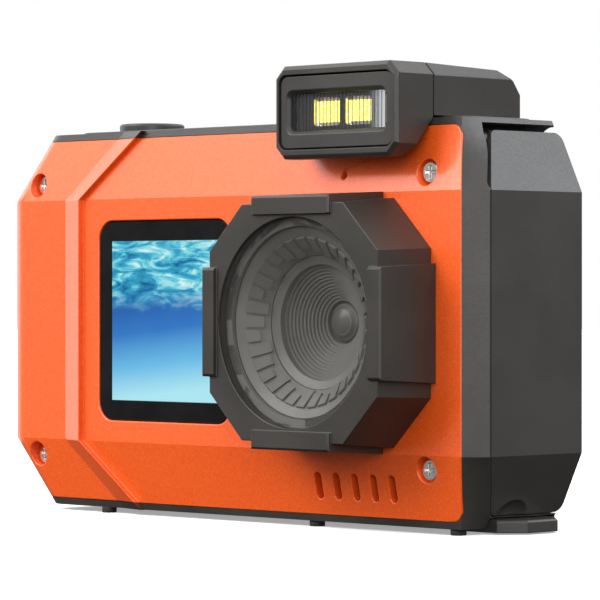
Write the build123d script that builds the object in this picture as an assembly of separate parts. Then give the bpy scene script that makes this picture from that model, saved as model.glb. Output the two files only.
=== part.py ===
from build123d import *
import math
import os

# Waterproof action camera with two screens and a video lamp on its top deck.
# The front faces -Y, the door side is +X, and the feet stand on Z = 0. Millimetres.

# ---- Driving dimensions: body envelope ----
HALF_W = 57.8        # half the body's width, out to the door
FACE_Y = -7.05       # flat middle of the front cover
REAR_Y = 18.45       # back of the rear cover
MID_Z = 34.0         # half way up the body
HALF_H = 33.0        # half the body's height, rim to rim
STRAIGHT = 21.2      # half the height over which both ends are upright
FACET_RUN = 2.5      # how far the upper and lower facets lean back
LEFT_RUN = 7.7       # how far the eight-sided left end is cut in at the rims
DOOR_RUN = 5.6       # how far the door side leans in at the rims
STRIP_X = 54.6       # right edge of the front cover
STRIP_RUN = 2.2      # how far that edge leans in at the rims
STRIP_CUT = 3.2      # slanted strip between the front cover and the door
CREASE_RUN = 6.1     # how far the strip's rear crease moves back at the rims
LEFT_R = 4.5         # rounding of the left end
GRIP_SETBACK = 0.8   # flat of the left grip, behind the middle flat
RIDGE = 1.1          # crest of the grip's ridge, in front of the middle flat
CREST_X, CREST_RUN = -36.1, 13.6   # crest at mid height, and its run to the right at the rims
FOOT_X, FOOT_RUN = -41.8, 12.8     # foot of the ridge's outer slope, in the same way

# ---- Walls and seams ----
RIM = 1.2            # black rim seen above and below the front cover
COVER_T = 1.8        # front cover's wall
SKIRT_X = 50.4       # right side of the front cover's skirt
LIP = 0.6            # front cover's thin lip beyond its skirt
FRAME_T = 2.2        # wall of the frame and of the rear cover
FRONT_SEAM = -1.2    # plane where the front cover's skirt meets the frame
REAR_SEAM = 12.5     # plane where the frame meets the rear cover
FLANGE = 4.2         # inner reach of the frame's front flange
SEAL = 0.9           # square section of the body seals
DECK_Z, DECK_T = 67.3, 1.2         # top face and thickness of the top deck plate
DECK = (-43.0, 50.6, -2.4, 15.6)   # X low, X high, Y low, Y high
FIT = 0.05           # clearance between fixed pieces

# ---- Door on the +X side ----
DOOR_T, DOOR_GAP, TOP_GAP = 1.9, 0.2, 0.8
DOOR_SETBACK = 0.4                 # door's front edge, behind the strip's rear crease
DOOR_OPENING = 85                  # degrees, from shut to wide open
SWING_SPARE, SWING_STEP = 0.12, 5  # clearance round the opening door, and degrees between its cuts
SWING_LIFT = 1.0                   # room for the door's slanted front edge as it rises
DOOR_LOW, DOOR_HIGH = 3.0, 65.0
MOUTH = (-0.9, 11.0, 15.0, 53.4)   # opening behind the door: Y low, Y high, Z low, Z high
PLUG = (0.0, 10.3, 15.9, 51.8)     # door's plug that enters the mouth
PLUG_DEPTH = 1.6
PIN_X, PIN_Z, PIN_R = 51.5, 63.1, 0.75
KNUCKLE_R, KNUCKLE_Y = 1.7, (2.4, 15.6)
LUG_R, FRONT_LUG, REAR_LUG = 1.6, (0.2, 2.1), (15.9, 18.2)
LUG_DROP = 0.4                     # top of the lugs' arms, below the pin, clear of the open door
SWEEP_R = 2.9                      # room round the pin for the door's top edge
LATCH_ROOT = (1.75, 16.05)         # latch tab, Y at its root
LATCH_Z = (0.3, 2.4)
LATCH_TRAVEL = 1.5                 # towards the rear
LATCH_IN = 44.5                    # inner end of the latch tab
LATCH_SCREW = (48.0, 8.9)

# ---- Lens ----
LENS_X = 27.9
HOUSING_FRONT = -18.55
HOUSING_HALF, HOUSING_CUT = 20.2, 8.2
HOUSING_DRAFT, TAB_DRAFT = 4.4, 3.0
TAB_HALF, TAB_REACH, TAB_PROUD = 9.6, 21.25, 0.7
TAB_INNER = 17.6
WINDOW_R, WINDOW_Y, WINDOW_T = 17.1, -18.3, 1.5
BORE_R = 15.6
CONE_STEPS = 12

# ---- Front screen ----
SCREEN = (-31.9, 1.6, 16.5, 51.4)  # glass: X low, X high, Z low, Z high
SCREEN_R, SCREEN_T = 3.4, 0.9
SCREEN_LEDGE = 2.0

# ---- Lamp ----
LAMP_X, LAMP_W = 32.2, 28.0
LAMP_FRONT, LAMP_SEAM, LAMP_REAR = -13.05, -4.55, 16.45
LAMP_GROOVE, GROOVE_DEPTH = 0.3, 0.7   # open groove between the lamp's two shells
LAMP_TOP, LAMP_LOW = 76.0, 60.7
LAMP_T = 1.6
BEZEL = (25.8, 12.3, 68.35)        # width, height, centre Z
LIGHT = (21.7, 6.1)                # light window
LED_PITCH = 7.2

# ---- Rear ----
GLASS = (-18.5, 46.0, 9.0, 59.5)   # X low, X high, Z low, Z high
GLASS_Y = (17.6, 19.0)
KEY_TOP = 19.25                    # tops of the rear buttons
KEY_X = -33.5                      # middle of the rear key field

os.makedirs("parts", exist_ok=True)


# ---- Shape helpers ----
def slab(x0, x1, y0, y1, z0, z1):
    """Box between two corners."""
    centre = ((x0 + x1) / 2, (y0 + y1) / 2, (z0 + z1) / 2)
    return Pos(*centre) * Box(x1 - x0, y1 - y0, z1 - z0)


def along_y(sketch, y0, y1):
    """Extrude a sketch drawn in X and Z from y0 to y1."""
    plane = Plane((0, y1, 0), x_dir=(1, 0, 0), z_dir=(0, -1, 0))
    return extrude(plane * sketch, y1 - y0)


def along_x(sketch, x0, x1):
    """Extrude a sketch drawn in Y and Z from x0 to x1."""
    plane = Plane((x0, 0, 0), x_dir=(0, 1, 0), z_dir=(1, 0, 0))
    return extrude(plane * sketch, x1 - x0)


def along_z(sketch, z0, z1):
    """Extrude a sketch drawn in X and Y from z0 to z1."""
    return extrude(Pos(0, 0, z0) * sketch, z1 - z0)


def disc_y(x, z, radius, y0, y1):
    """Round bar along Y."""
    return along_y(Pos(x, z) * Circle(radius), y0, y1)


def disc_z(x, y, radius, z0, z1):
    """Round bar along Z."""
    return along_z(Pos(x, y) * Circle(radius), z0, z1)


def panel_y(x0, x1, z0, z1, radius, y0, y1):
    """Rounded rectangle in X and Z, from y0 to y1."""
    shape = Pos((x0 + x1) / 2, (z0 + z1) / 2) * RectangleRounded(x1 - x0, z1 - z0, radius)
    return along_y(shape, y0, y1)


def panel_z(x0, x1, y0, y1, radius, z0, z1):
    """Rounded rectangle in X and Y, from z0 to z1."""
    shape = Pos((x0 + x1) / 2, (y0 + y1) / 2) * RectangleRounded(x1 - x0, y1 - y0, radius)
    return along_z(shape, z0, z1)


def polygon(*points):
    """Flat face through points."""
    return make_face(Polyline(*points, close=True))


def turned(*points):
    """Body of revolution on the lens axis from (radius, Y) points."""
    return Pos(LENS_X, 0, MID_Z) * revolve(polygon(*points), Axis.Y)


def write(name, *shapes):
    """One STEP for one node."""
    solids = [solid for shape in shapes for solid in shape.solids()]
    export_step(Compound(solids, label=name), f"parts/{name}.step")


# ---- Body envelope ----
def outline(lean, inset, side):
    """Plan of the body at one height. lean is 0 where the ends are upright and 1 at the rims.
    inset moves every wall inwards, and side moves the door side in further."""
    left = -HALF_W + LEFT_RUN * lean + inset
    front = FACE_Y + FACET_RUN * lean + inset
    rear = REAR_Y - inset
    grip = front + GRIP_SETBACK
    crest_x = CREST_X + CREST_RUN * lean
    foot_x = FOOT_X + FOOT_RUN * lean
    strip_x = STRIP_X - STRIP_RUN * lean - inset - side
    door_x = HALF_W - DOOR_RUN * lean - inset - side
    crease = FACE_Y + STRIP_CUT + CREASE_RUN * lean
    radius = max(LEFT_R - inset, 1.0)
    bend = radius * (1 - math.sqrt(0.5))
    side_end = (left, grip + radius)
    front_end = (left + radius, grip)
    arc = ThreePointArc(side_end, (left + bend, grip + bend), front_end)
    rest = Polyline(
        front_end, (foot_x, grip), (crest_x, front - RIDGE), (crest_x, front),
        (strip_x, front), (door_x, crease), (door_x, rear), (left, rear), side_end,
    )
    return make_face([arc] + rest.edges())


def envelope(inset=0.0, side=0.0):
    """The body as one block: upright in the middle, leaning in to both rims."""
    reach = HALF_H - inset
    lean = (reach - STRAIGHT) / (HALF_H - STRAIGHT)
    block = extrude(Pos(0, 0, MID_Z - STRAIGHT) * outline(0, inset, side), 2 * STRAIGHT)
    for way in (-1, 1):
        inner = Pos(0, 0, MID_Z + way * STRAIGHT) * outline(0, inset, side)
        rim = Pos(0, 0, MID_Z + way * reach) * outline(lean, inset, side)
        block += loft([inner, rim], ruled=True)
    return block


def band(block, y0, y1):
    """The slice of a block between two Y planes."""
    return block & slab(-70, 70, y0, y1, -10, 90)


def ring(t0, t1, y0, y1, side=0.0):
    """A band of wall between two insets of the envelope."""
    return band(envelope(t0, side), y0, y1) - envelope(t1, side)


DOOR_LAYER = DOOR_T + DOOR_GAP
outer = envelope()
hollow = envelope(FRAME_T, DOOR_LAYER)


def door_zone(depth, grow, top, rear, lift=0.0):
    """Layer of the door side, from the outside in to a depth, within the door's outline.
    lift raises the upper slant of the front edge."""
    margin = 0.5
    layer = envelope(-margin) - envelope(-margin, depth + margin)
    front = FACE_Y + STRIP_CUT + DOOR_SETBACK - grow
    low, high = DOOR_LOW - grow, DOOR_HIGH + top
    slope = CREASE_RUN / (HALF_H - STRAIGHT)
    bend_z = MID_Z + STRAIGHT + lift
    high_front = front + slope * (high - bend_z)
    low_front = front + slope * (MID_Z - STRAIGHT - low)
    face = polygon((front, MID_Z - STRAIGHT), (front, bend_z), (high_front, high),
                   (rear, high), (rear, low), (low_front, low))
    return layer & along_x(fillet(face.vertices(), 1.6), 40, 70)


def scoop(grow):
    """Finger hollow over the latch tab: a spindle lying along Y."""
    reach, depth = 6.5 + grow, 3.9 + grow
    arc = ThreePointArc((0, -reach), (depth, 0), (0, reach))
    spindle = revolve(make_face([arc, Line(arc @ 1, arc @ 0)]), Axis.Y)
    return Pos(56.0, 6.3, 2.0) * spindle


pin_room = disc_y(PIN_X, PIN_Z, SWEEP_R, 0.2, REAR_Y + 1)


def swing_room():
    """Space that the door's upper part passes through as it opens."""
    upper = door_zone(DOOR_T + SWING_SPARE, SWING_SPARE, SWING_SPARE, REAR_Y)
    upper = upper & envelope(-SWING_SPARE) & slab(45, 65, -9, 20, 52, 70)
    hinge = Axis((PIN_X, 0, PIN_Z), (0, -1, 0))
    return [upper.rotate(hinge, turn) for turn in range(4, DOOR_OPENING + SWING_STEP, SWING_STEP)]


def lug(y0, y1):
    """Ear that holds one end of the door's hinge pin."""
    ear = disc_y(PIN_X, PIN_Z, LUG_R, y0, y1) + slab(46.5, PIN_X, y0, y1, PIN_Z - LUG_R, PIN_Z - LUG_DROP)
    return ear - disc_y(PIN_X, PIN_Z, PIN_R, -10, 30)


def latch_tab(grow):
    """Plan of the latch tab, with 45 degree corners."""
    low, high = LATCH_ROOT[0] - grow, LATCH_ROOT[1] + grow
    tip, cut = HALF_W + grow, 3.55
    return polygon(
        (LATCH_IN - grow, low), (tip - cut, low), (tip, low + cut),
        (tip, high - cut), (tip - cut, high), (LATCH_IN - grow, high),
    )


latch_room = along_z(latch_tab(0.25), -1, LATCH_Z[1] + 0.2)
latch_room += Pos(0, LATCH_TRAVEL, 0) * latch_room
deck_room = panel_z(*DECK, 3.0, DECK_Z - DECK_T, 80)

# ---- Front cover: orange shell with the grip's ridge ----
COVER_LOW, COVER_HIGH = MID_Z - HALF_H + RIM, MID_Z + HALF_H - RIM
SCREWS = [(46.5, 58.2, -4.6), (46.5, 10.4, -4.7), (-49.8, 58.0, -3.1), (-49.8, 10.0, -3.1)]  # X, Z, seat
HEAD_R, SEAT_R = 1.65, 2.1


def cover_region(grow):
    """Space of the front cover: a skirt down to the seam, and a thin lip out to the strip."""
    low, high = COVER_LOW - grow, COVER_HIGH + grow
    lean = (MID_Z - COVER_LOW - STRAIGHT) / (HALF_H - STRAIGHT)
    edge, rim_edge = STRIP_X + grow, STRIP_X - STRIP_RUN * lean + grow
    face = polygon((40, low), (rim_edge, low), (edge, MID_Z - STRAIGHT),
                   (edge, MID_Z + STRAIGHT), (rim_edge, high), (40, high))
    face = fillet(face.vertices().sort_by(Axis.X)[2:4], 2.2)
    back, rim_back = FACE_Y + LIP + grow, FACE_Y + FACET_RUN * lean + LIP + grow
    layer = polygon((-20, low), (rim_back, low), (back, MID_Z - STRAIGHT),
                    (back, MID_Z + STRAIGHT), (rim_back, high), (-20, high))
    lip = along_y(face, -20, 0) & along_x(layer, 35, 70)
    return lip + slab(-70, SKIRT_X + grow, FACE_Y - 5, FRONT_SEAM + grow, low, high)


def cover_core(inset):
    """Space inside the front cover's walls."""
    edge = SKIRT_X - inset
    return envelope(inset) & slab(-70, edge, -20, 30, COVER_LOW + inset, COVER_HIGH - inset)


front_cover = (outer & cover_region(0)) - cover_core(COVER_T)
for x, z, _ in SCREWS:
    front_cover += disc_y(x, z, 2.9, FACE_Y - 2, FRONT_SEAM) & (outer & cover_region(0))
front_cover -= disc_y(LENS_X, MID_Z, 18.2, FACE_Y - 3, 0)
front_cover -= panel_y(*SCREEN, SCREEN_R, FACE_Y - 3, FACE_Y + 1.0)
x0, x1, z0, z1 = SCREEN
front_cover -= panel_y(
    x0 + SCREEN_LEDGE, x1 - SCREEN_LEDGE, z0 + SCREEN_LEDGE, z1 - SCREEN_LEDGE, 1.5, FACE_Y, 0)

SLOT_W, SLOT_H, SLOT_PITCH, SLOT_X, SLOT_Z = 1.5, 4.4, 4.22, 29.9, 7.0
for i in range(5):
    x = SLOT_X + (i - 2) * SLOT_PITCH
    front_cover -= panel_y(x - SLOT_W / 2, x + SLOT_W / 2, SLOT_Z - SLOT_H / 2, SLOT_Z + SLOT_H / 2,
                           SLOT_W / 2 - 0.01, FACE_Y - 2, 0)
MIC_Z = 58.1
front_cover -= disc_y(LENS_X, MIC_Z, 0.65, FACE_Y - 2, 0)
for x, z, seat in SCREWS:
    front_cover -= disc_y(x, z, SEAT_R, FACE_Y - 3, seat)
    front_cover -= disc_y(x, z, 1.0, FACE_Y - 3, 2)
write("front_cover", front_cover)


def screw(x, z, seat, way, length):
    """Cross-head screw along Y. way is the direction in which it points."""
    head = disc_y(x, z, HEAD_R, *sorted((seat, seat - way * 1.0)))
    shank = disc_y(x, z, 0.95, *sorted((seat, seat + way * length)))
    mouth = sorted((seat - way * 1.5, seat - way * 0.45))
    cross = slab(x - 1.1, x + 1.1, *mouth, z - 0.25, z + 0.25)
    cross += slab(x - 0.25, x + 0.25, *mouth, z - 1.1, z + 1.1)
    return head + shank - cross


write("front_screws", *[screw(x, z, seat, 1, 6.0) for x, z, seat in SCREWS])

door_recess = door_zone(DOOR_LAYER, DOOR_GAP, TOP_GAP, REAR_Y + 3, SWING_LIFT)
swing = swing_room()

# ---- Mid frame: black band, top rim, strip beside the door, and the door's mouth ----
REAR_SCREWS = [(-50.8, 58.0), (-50.8, 10.0), (43.5, 62.4), (43.5, 5.6)]
REAR_SEAT_Y = REAR_Y - 0.9
inner_wall = envelope(1.0, DOOR_LAYER)
frame = band(outer, -12, REAR_SEAM) - cover_region(FIT) - hollow
frame += band(inner_wall, FRONT_SEAM, 1.0) - envelope(FLANGE, DOOR_LAYER)
frame += slab(SKIRT_X - 3.8, 53, FRONT_SEAM, 1.0, 3, 65) & inner_wall
for x, z, _ in SCREWS:
    boss = disc_y(x, z, 2.6, FRONT_SEAM, 4.5)
    rib = slab(*sorted((x, math.copysign(56, x))), FRONT_SEAM, 2.5, z - 1.2, z + 1.2)
    frame += (boss + rib) & inner_wall
for x, z in REAR_SCREWS:
    frame += disc_y(x, z, 2.6, 7.5, REAR_SEAM) & inner_wall
frame += disc_y(PIN_X, PIN_Z, SWEEP_R + 1, FRONT_SEAM, REAR_SEAM) & inner_wall
frame += disc_z(*LATCH_SCREW, 2.2, 1.5, 5.0)
frame -= door_recess
frame -= slab(45, 60, *MOUTH)
frame -= pin_room
frame -= swing
frame += lug(*FRONT_LUG)
frame -= latch_room
frame -= disc_z(*LATCH_SCREW, 0.9, 0, 4.5)
frame -= scoop(0.3)
frame -= deck_room
for x, z, _ in SCREWS:
    frame -= disc_y(x, z, 0.95, -5, 3.5)
for x, z in REAR_SCREWS:
    frame -= disc_y(x, z, 0.95, 8.5, 15)

# Top buttons, tripod insert and feet pass through the frame.
SHUTTER = (-31.8, 5.5)
POWER = (-6.0, 5.5)
DECK_LOW = DECK_Z - DECK_T
frame -= disc_z(*SHUTTER, 3.3, DECK_LOW - 0.6, 80) + disc_z(*SHUTTER, 1.6, 60, 80)
frame -= disc_z(*POWER, 1.4, 60, 80)
TRIPOD = (-2.0, 5.0)
TRIPOD_R, TRIPOD_TOP, THREAD_R, THREAD_L = 5.0, 9.6, 2.55, 7.0
FLOOR = MID_Z - HALF_H
frame += disc_z(*TRIPOD, 7.2, FLOOR + 1, 6.0) & slab(-20, 20, FRONT_SEAM, REAR_SEAM, 0, 9)
frame -= disc_z(*TRIPOD, TRIPOD_R, -1, 20)
FEET = [(-33.8, -2.9), (18.2, -2.9), (50.2, -2.9), (-33.8, 14.6), (10.0, 14.6), (38.0, 14.6)]
for x, y in FEET:
    frame -= disc_z(x, y, 0.75, -1, FLOOR + 1.0)
CABLE = (LAMP_X, 7.0)
frame -= disc_z(*CABLE, 2.0, 60, 80)
SEAL_MID = (FRAME_T - SEAL) / 2
rear_seal = ring(SEAL_MID, SEAL_MID + SEAL, REAR_SEAM - SEAL, REAR_SEAM, DOOR_LAYER)
rear_seal -= pin_room + latch_room + deck_room
frame -= rear_seal
write("mid_frame", frame)
write("rear_seal", rear_seal)

# The main seal lies inside the cover's skirt and goes round the screw bosses.
main_seal = cover_core(COVER_T + 0.1) - cover_core(COVER_T + 0.1 + SEAL)
for x, z, _ in SCREWS:
    main_seal += disc_y(x, z, 3.0 + SEAL, -9, 9) & cover_core(COVER_T + 0.1)
    main_seal -= disc_y(x, z, 3.0, -9, 9)
write("main_seal", band(main_seal, FRONT_SEAM - SEAL, FRONT_SEAM))

write("tripod_insert",
      disc_z(*TRIPOD, TRIPOD_R - FIT, FLOOR, TRIPOD_TOP) + disc_z(*TRIPOD, 6.6, 6.0, 7.0)
      - disc_z(*TRIPOD, THREAD_R, FLOOR - 1, FLOOR + THREAD_L))
write("feet", *[disc_z(x, y, 1.3, 0, FLOOR) + disc_z(x, y, 0.75, 0, FLOOR + 1.0) for x, y in FEET])

# ---- Top deck plate ----
deck = panel_z(DECK[0] + FIT, DECK[1] - FIT, DECK[2] + FIT, DECK[3] - FIT, 2.95, DECK_LOW, DECK_Z)
deck -= disc_z(*SHUTTER, 6.05, 60, 80)
deck -= disc_z(*POWER, 3.55, 60, 80)
deck -= disc_z(*CABLE, 2.0, 60, 80)
write("top_deck", deck)

shutter = disc_z(*SHUTTER, 5.75, DECK_LOW + 0.9, DECK_Z + 1.45)
shutter = fillet(shutter.edges().group_by(Axis.Z)[-1], 0.5)
shutter += disc_z(*SHUTTER, 1.5, 63.0, DECK_LOW + 1.2)
write("shutter_button", shutter)
write("shutter_spring", disc_z(*SHUTTER, 3.1, DECK_LOW - 0.6, DECK_LOW + 0.9) - disc_z(*SHUTTER, 1.9, 60, 70))
write("power_button", disc_z(*POWER, 3.35, DECK_LOW + 0.5, DECK_Z + 0.1) + disc_z(*POWER, 1.3, 62.7, 67))
write("button_board", slab(-42, 2, 1.5, 9.5, 60.0, 60.8))

# ---- Rear cover ----
wx0, wx1, wz0, wz1 = GLASS
rear_cover = band(outer, REAR_SEAM, 30) - hollow
rear_edges = rear_cover.faces().sort_by(Axis.Y)[-1].outer_wire().edges()
rear_cover = chamfer(rear_edges, 1.0)
for x, z in REAR_SCREWS:
    rear_cover += disc_y(x, z, 2.6, REAR_SEAM, 17.5) & inner_wall
rear_cover -= panel_y(*GLASS, 2.5, GLASS_Y[0], 30)
rear_cover -= panel_y(wx0 + 2, wx1 - 2, wz0 + 2, wz1 - 2, 1.0, 10, 30)
rear_cover += disc_y(PIN_X, PIN_Z, SWEEP_R + 1, REAR_SEAM, 17) & inner_wall
rear_cover -= door_recess
rear_cover -= pin_room
rear_cover -= swing
rear_cover += lug(*REAR_LUG)
rear_cover -= latch_room
rear_cover -= deck_room
for x, z in REAR_SCREWS:
    rear_cover -= disc_y(x, z, SEAT_R, REAR_SEAT_Y, 30) + disc_y(x, z, 1.0, 10, 30)
for x, y in FEET:
    rear_cover -= disc_z(x, y, 0.75, -1, FLOOR + 1.0)

# Rear keys: name, X, Z, radius.
KEYS = [
    ("mode_button", KEY_X - 8.0, 47.5, 3.6), ("play_button", KEY_X + 8.0, 47.5, 3.6),
    ("menu_button", KEY_X - 8.0, 15.5, 3.6), ("screen_button", KEY_X + 8.0, 15.5, 3.6),
]
PAD_Z, PAD_R, PAD_HOLE, OK_R = 31.5, 10.2, 4.8, 4.5
ROCKER_Z, ROCKER_L, ROCKER_H = 57.8, 20.0, 5.6
PIVOT_Y, PIVOT_R = 17.3, 0.6
for name, x, z, radius in KEYS:
    rear_cover -= disc_y(x, z, radius + 0.25, 10, 30)
rear_cover -= disc_y(KEY_X, PAD_Z, PAD_R + 0.3, 10, 30)
rear_cover -= panel_y(KEY_X - ROCKER_L / 2 - 0.4, KEY_X + ROCKER_L / 2 + 0.4,
                      ROCKER_Z - ROCKER_H / 2 - 0.3, ROCKER_Z + ROCKER_H / 2 + 0.3, 2.9, 10, 30)
rear_cover -= disc_z(KEY_X, PIVOT_Y, PIVOT_R, ROCKER_Z - 4.4, ROCKER_Z + 4.4)
write("rear_cover", rear_cover)
write("rear_screws", *[screw(x, z, REAR_SEAT_Y, -1, 7.5) for x, z in REAR_SCREWS])

for name, x, z, radius in KEYS:
    key = disc_y(x, z, radius, 15.0, KEY_TOP)
    key = fillet(key.edges().group_by(Axis.Y)[-1], 0.5)
    key += disc_y(x, z, radius + 0.8, 15.0, 15.6) + disc_y(x, z, 0.9, 14.5, 15.2)
    write(name, key)

pad = disc_y(KEY_X, PAD_Z, PAD_R, 15.0, KEY_TOP) - disc_y(KEY_X, PAD_Z, PAD_HOLE, 10, 30)
pad = fillet(pad.edges().group_by(Axis.Y)[-1], 0.4)
pad += disc_y(KEY_X, PAD_Z, PAD_R + 1.0, 15.0, 15.6) - disc_y(KEY_X, PAD_Z, PAD_HOLE, 10, 30)
write("four_way_pad", pad)
ok_key = fillet(disc_y(KEY_X, PAD_Z, OK_R, 14.6, KEY_TOP).edges().group_by(Axis.Y)[-1], 0.5)
write("ok_button", ok_key)

rocker = panel_y(KEY_X - ROCKER_L / 2, KEY_X + ROCKER_L / 2,
                 ROCKER_Z - ROCKER_H / 2, ROCKER_Z + ROCKER_H / 2, 2.6, 16.3, KEY_TOP)
rocker = fillet(rocker.edges().group_by(Axis.Y)[-1], 0.6)
rocker -= disc_z(KEY_X, PIVOT_Y, PIVOT_R + 0.05, 40, 70)
write("zoom_rocker", rocker)
write("rocker_pin", disc_z(KEY_X, PIVOT_Y, PIVOT_R, ROCKER_Z - 4.4, ROCKER_Z + 4.4))

write("rear_screen_glass", panel_y(wx0 + FIT, wx1 - FIT, wz0 + FIT, wz1 - FIT, 2.45, *GLASS_Y))
write("rear_display", panel_y(wx0 + 2.2, wx1 - 2.2, wz0 + 2.2, wz1 - 2.2, 0.8, 14.8, GLASS_Y[0]))

# ---- Door, hinged on a pin along its top edge ----
door = door_zone(DOOR_T, 0, 0, REAR_Y) & outer
plug_face = HALF_W - DOOR_T
door += slab(plug_face - PLUG_DEPTH, plug_face + 0.3, *PLUG)
knuckle = along_y(Pos(PIN_X, PIN_Z) * Circle(KNUCKLE_R), *KNUCKLE_Y)
knuckle += slab(PIN_X, PIN_X + 2.2, *KNUCKLE_Y, PIN_Z - 1.5, PIN_Z + 0.8) & outer
door += knuckle
door -= disc_y(PIN_X, PIN_Z, PIN_R + FIT, -10, 30)
for y0, y1 in ((-10, KNUCKLE_Y[0]), (KNUCKLE_Y[1], 30)):
    door -= disc_y(PIN_X, PIN_Z, LUG_R + 0.3, y0, y1)
door -= scoop(0)
write("side_door", door)
write("door_hinge_pin", disc_y(PIN_X, PIN_Z, PIN_R, FRONT_LUG[0], REAR_LUG[1]))
y0, y1, z0, z1 = PLUG
door_seal = slab(plug_face - 1.0, plug_face, y0 - 0.4, y1 + 0.4, z0 - 0.5, z1 + 0.5)
write("door_seal", door_seal - slab(40, 70, *PLUG))

# ---- Latch tab below the door, held by a shoulder screw in a slot ----
sx, sy = LATCH_SCREW
latch = along_z(latch_tab(0), *LATCH_Z)
latch = chamfer(latch.edges().group_by(Axis.Z)[-1], 0.3)
latch -= panel_z(sx - 1.05, sx + 1.05, sy - 1.05 - LATCH_TRAVEL, sy + 1.05, 1.0, -1, 5)
latch -= panel_z(sx - 2.1, sx + 2.1, sy - 2.1 - LATCH_TRAVEL, sy + 2.1, 2.05, -1, LATCH_Z[0] + 0.9)
write("door_latch", latch)
write("latch_screw", disc_z(sx, sy, 1.9, LATCH_Z[0] + 0.1, LATCH_Z[0] + 0.8) + disc_z(sx, sy, 0.9, 0.5, 4.4))


# ---- Lens housing: eight-sided, with a raised tab on each of four sides ----
def lens_face(*points):
    """Sketch round the lens axis, given as X and Z offsets."""
    return Pos(LENS_X, MID_Z) * polygon(*points)


def drafted(face, depth, taper):
    """Push a sketch forward from the front cover's flat, drawing in by a taper angle."""
    return extrude(Plane((0, FACE_Y, 0), x_dir=(1, 0, 0), z_dir=(0, -1, 0)) * face, depth, taper=taper)


half, flat = HOUSING_HALF, HOUSING_HALF - HOUSING_CUT
eight = lens_face((half, -flat), (half, flat), (flat, half), (-flat, half),
                  (-half, flat), (-half, -flat), (-flat, -half), (flat, -half))
housing_depth = FACE_Y - HOUSING_FRONT
housing = drafted(eight, housing_depth, HOUSING_DRAFT)
tabs = None
for w, h in ((TAB_HALF, TAB_REACH), (TAB_REACH, TAB_HALF)):
    bar = drafted(lens_face((w, -h), (w, h), (-w, h), (-w, -h)), housing_depth + TAB_PROUD, TAB_DRAFT)
    bar = chamfer(bar.faces().sort_by(Axis.Y)[0].edges(), 0.35)
    tabs = bar if tabs is None else tabs + bar
well = panel_y(LENS_X - TAB_INNER, LENS_X + TAB_INNER, MID_Z - TAB_INNER, MID_Z + TAB_INNER, 0.5,
               HOUSING_FRONT - 5, HOUSING_FRONT)
housing += tabs - well
housing += disc_y(LENS_X, MID_Z, 18.1, FACE_Y - 1, -5.0)
housing -= disc_y(LENS_X, MID_Z, BORE_R, -30, 0)
housing -= disc_y(LENS_X, MID_Z, WINDOW_R + FIT, -30, WINDOW_Y + WINDOW_T + 0.6)
write("lens_housing", housing)

window_back = WINDOW_Y + WINDOW_T
window = disc_y(LENS_X, MID_Z, WINDOW_R, WINDOW_Y, window_back)
write("lens_window", chamfer(window.edges().group_by(Axis.Y)[0], 0.25))
write("window_seal", turned((BORE_R + 0.1, window_back), (WINDOW_R, window_back),
                            (WINDOW_R, window_back + 0.6), (BORE_R + 0.1, window_back + 0.6)))

# Ring inside the window: a smooth lip, then a funnel set with flat ribs of three lengths.
LIP_R, LIP_Y = (15.5, 14.1), (-16.1, -15.3)      # lip's outer and inner edges
FUNNEL_R, FUNNEL_Y, RING_BACK = 11.0, -12.5, -11.5
RIBS, RIB_W, RIB_H, RIB_END = 34, 1.75, 0.45, 1.9
RIB_LENGTHS = (3.6, 2.2, 3.0)
rib_ring = turned((LIP_R[0], LIP_Y[0]), (LIP_R[1], LIP_Y[1]), (FUNNEL_R, FUNNEL_Y),
                  (FUNNEL_R, RING_BACK), (LIP_R[0], RING_BACK))
lean_angle = math.degrees(math.atan2(LIP_Y[1] - FUNNEL_Y, LIP_R[1] - FUNNEL_R))
mid_r, mid_y = (LIP_R[1] + FUNNEL_R) / 2, (LIP_Y[1] + FUNNEL_Y) / 2
ribs = [
    Pos(LENS_X, 0, MID_Z) * Rot(0, i * 360 / RIBS, 0) * Pos(mid_r, mid_y, 0) * Rot(0, 0, lean_angle)
    * slab(RIB_END - RIB_LENGTHS[i % 3], RIB_END, -RIB_H, 0.3, -RIB_W / 2, RIB_W / 2)
    for i in range(RIBS)
]
write("rib_ring", rib_ring + ribs)

# Cone: a bright step ring, then fine stairs down to the front lens.
RIM_R, RIM_Y, STEP_Y = 10.9, -12.3, -11.7
CONE_R0, CONE_R1, CONE_Y0, CONE_Y1, CONE_T = 9.5, 3.6, -11.0, -6.6, 0.8
step_r, step_y = (CONE_R0 - CONE_R1) / CONE_STEPS, (CONE_Y1 - CONE_Y0) / CONE_STEPS
stairs = [(RIM_R, RIM_Y), (CONE_R0, STEP_Y)]
for i in range(CONE_STEPS):
    radius, y = CONE_R0 - i * step_r, CONE_Y0 + (i + 1) * step_y
    stairs += [(radius, y), (radius - step_r, y)]
write("lens_cone", turned(*stairs, (CONE_R1, CONE_Y1 + CONE_T), (RIM_R, CONE_Y0 + CONE_T + step_y)))

dome = ThreePointArc((0, -7.4), (1.9, -7.0), (3.4, -5.9))
element = make_face([dome] + Polyline(dome @ 1, (3.4, -4.2), (0, -4.2), dome @ 0).edges())
write("front_lens_element", Pos(LENS_X, 0, MID_Z) * revolve(element, Axis.Y))
write("lens_barrel", turned((3.45, -5.7), (8.0, -5.7), (8.0, 1.6), (4.6, 1.6), (4.6, -0.6), (3.45, -0.6)))
write("rear_lens_element", disc_y(LENS_X, MID_Z, 3.4, -2.6, -0.9))
write("image_sensor", slab(LENS_X - 3.9, LENS_X + 3.9, 1.7, 2.6, MID_Z - 3.1, MID_Z + 3.1))
write("sensor_board", slab(LENS_X - 9, LENS_X + 9, 2.6, 3.4, MID_Z - 9, MID_Z + 9))

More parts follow.
